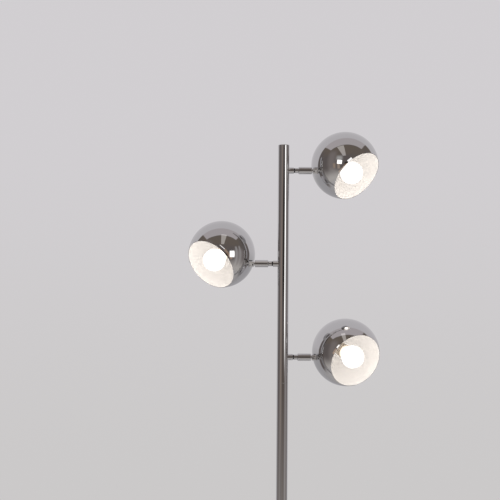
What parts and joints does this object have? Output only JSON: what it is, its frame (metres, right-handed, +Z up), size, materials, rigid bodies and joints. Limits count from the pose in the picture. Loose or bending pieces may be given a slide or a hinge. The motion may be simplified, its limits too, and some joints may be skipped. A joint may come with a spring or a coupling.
{
  "type": "tree floor lamp",
  "caption": "Upright pole on a round weighted base with short swivel arms, each carrying a knuckle-hinged spherical eyeball shade with a globe bulb.",
  "frame": {"origin": "centre of the underside of the base, on the floor under the pole's axis", "axes": "+Z up along the pole, +X towards the side of the top and bottom arms, -Y towards the front that the shades face"},
  "size_m": [0.3861, 0.2515, 1.5797],
  "materials": {
    "chrome": "bright plated, polished",
    "zinc_steel": "zinc plated",
    "blackened_steel": "blackened",
    "cream_plastic": "satin moulded",
    "opal_glass": "opal, frosted, lit",
    "nickel": "nickel plated brass",
    "lead_sheath": "soft PVC sheath",
    "cast_iron": "as cast, lacquered",
    "eva_foam": "closed-cell foam sheet",
    "black_rubber": "moulded rubber",
    "clear_plastic": "translucent polyethylene",
    "nylon": "black nylon",
    "splice_plastic": "heat-shrunk sleeve"
  },
  "bodies": {
    "root": {"base_cover": "chrome", "base_weight": "cast_iron", "base_pad": "eva_foam", "cable_bush": "black_rubber", "base_nipple": "zinc_steel", "base_washer": "zinc_steel", "base_nut": "zinc_steel", "terminal_block": "clear_plastic", "lower_tube": "chrome", "middle_tube": "chrome", "upper_tube": "chrome", "tube_inserts": "zinc_steel", "coupling_nipples": "zinc_steel", "top_cap": "chrome", "arm_sockets": "chrome", "arm_axles": "zinc_steel", "arm_nuts": "zinc_steel", "swivel_washers": "nylon", "swivel_retainers": "zinc_steel", "pole_lead": "lead_sheath", "splice_sleeves": "splice_plastic", "arm_leads": "lead_sheath"},
    "top_arm": {"top_barrel": "chrome", "top_stop_screw": "blackened_steel", "top_knuckle_fork": "chrome", "top_pivot_screw": "zinc_steel"},
    "top_knuckle": {"top_knuckle_tongue": "chrome", "top_stem_nut": "zinc_steel"},
    "top_head": {"top_shade": "chrome", "top_holder_bracket": "zinc_steel", "top_lampholder": "cream_plastic", "top_bulb_globe": "opal_glass", "top_bulb_cap": "nickel", "top_head_lead": "lead_sheath"},
    "middle_arm": {"middle_barrel": "chrome", "middle_stop_screw": "blackened_steel", "middle_knuckle_fork": "chrome", "middle_pivot_screw": "zinc_steel"},
    "middle_knuckle": {"middle_knuckle_tongue": "chrome", "middle_stem_nut": "zinc_steel"},
    "middle_head": {"middle_shade": "chrome", "middle_holder_bracket": "zinc_steel", "middle_lampholder": "cream_plastic", "middle_bulb_globe": "opal_glass", "middle_bulb_cap": "nickel", "middle_head_lead": "lead_sheath"},
    "bottom_arm": {"bottom_barrel": "chrome", "bottom_stop_screw": "blackened_steel", "bottom_knuckle_fork": "chrome", "bottom_pivot_screw": "zinc_steel"},
    "bottom_knuckle": {"bottom_knuckle_tongue": "chrome", "bottom_stem_nut": "zinc_steel"},
    "bottom_head": {"bottom_shade": "chrome", "bottom_holder_bracket": "zinc_steel", "bottom_lampholder": "cream_plastic", "bottom_bulb_globe": "opal_glass", "bottom_bulb_cap": "nickel", "bottom_head_lead": "lead_sheath"}
  },
  "joints": [
    {"name": "top_swivel", "type": "hinge", "parent": "root", "child": "top_arm", "pos_m": [0, 0, 1.497], "axis": [1, 0, 0], "range_deg": [-150, 150]},
    {"name": "top_tilt", "type": "hinge", "parent": "top_arm", "child": "top_knuckle", "pos_m": [0.063, 0, 1.497], "axis": [0, -0.3567, 0.9342], "range_deg": [-109.5, 40.5]},
    {"name": "top_turn", "type": "hinge", "parent": "top_knuckle", "child": "top_head", "pos_m": [0.12522, 0.03995, 1.51226], "axis": [0.8241, 0.5291, 0.2021], "range_deg": [-170, 170]},
    {"name": "middle_swivel", "type": "hinge", "parent": "root", "child": "middle_arm", "pos_m": [0, 0, 1.314], "axis": [-1, 0, 0], "range_deg": [-150, 150]},
    {"name": "middle_tilt", "type": "hinge", "parent": "middle_arm", "child": "middle_knuckle", "pos_m": [-0.063, 0, 1.314], "axis": [0, -0.3778, 0.9259], "range_deg": [-36.6, 113.4]},
    {"name": "middle_turn", "type": "hinge", "parent": "middle_knuckle", "child": "middle_head", "pos_m": [-0.12217, 0.04342, 1.33172], "axis": [-0.7837, 0.5751, 0.2347], "range_deg": [-170, 170]},
    {"name": "bottom_swivel", "type": "hinge", "parent": "root", "child": "bottom_arm", "pos_m": [0, 0, 1.131], "axis": [1, 0, 0], "range_deg": [-150, 150]},
    {"name": "bottom_tilt", "type": "hinge", "parent": "bottom_arm", "child": "bottom_knuckle", "pos_m": [0.063, 0, 1.131], "axis": [0, -0.1374, 0.9905], "range_deg": [-104.2, 45.8]},
    {"name": "bottom_turn", "type": "hinge", "parent": "bottom_knuckle", "child": "bottom_head", "pos_m": [0.12891, 0.03648, 1.13606], "axis": [0.8729, 0.4832, 0.0671], "range_deg": [-170, 170]}
  ]
}
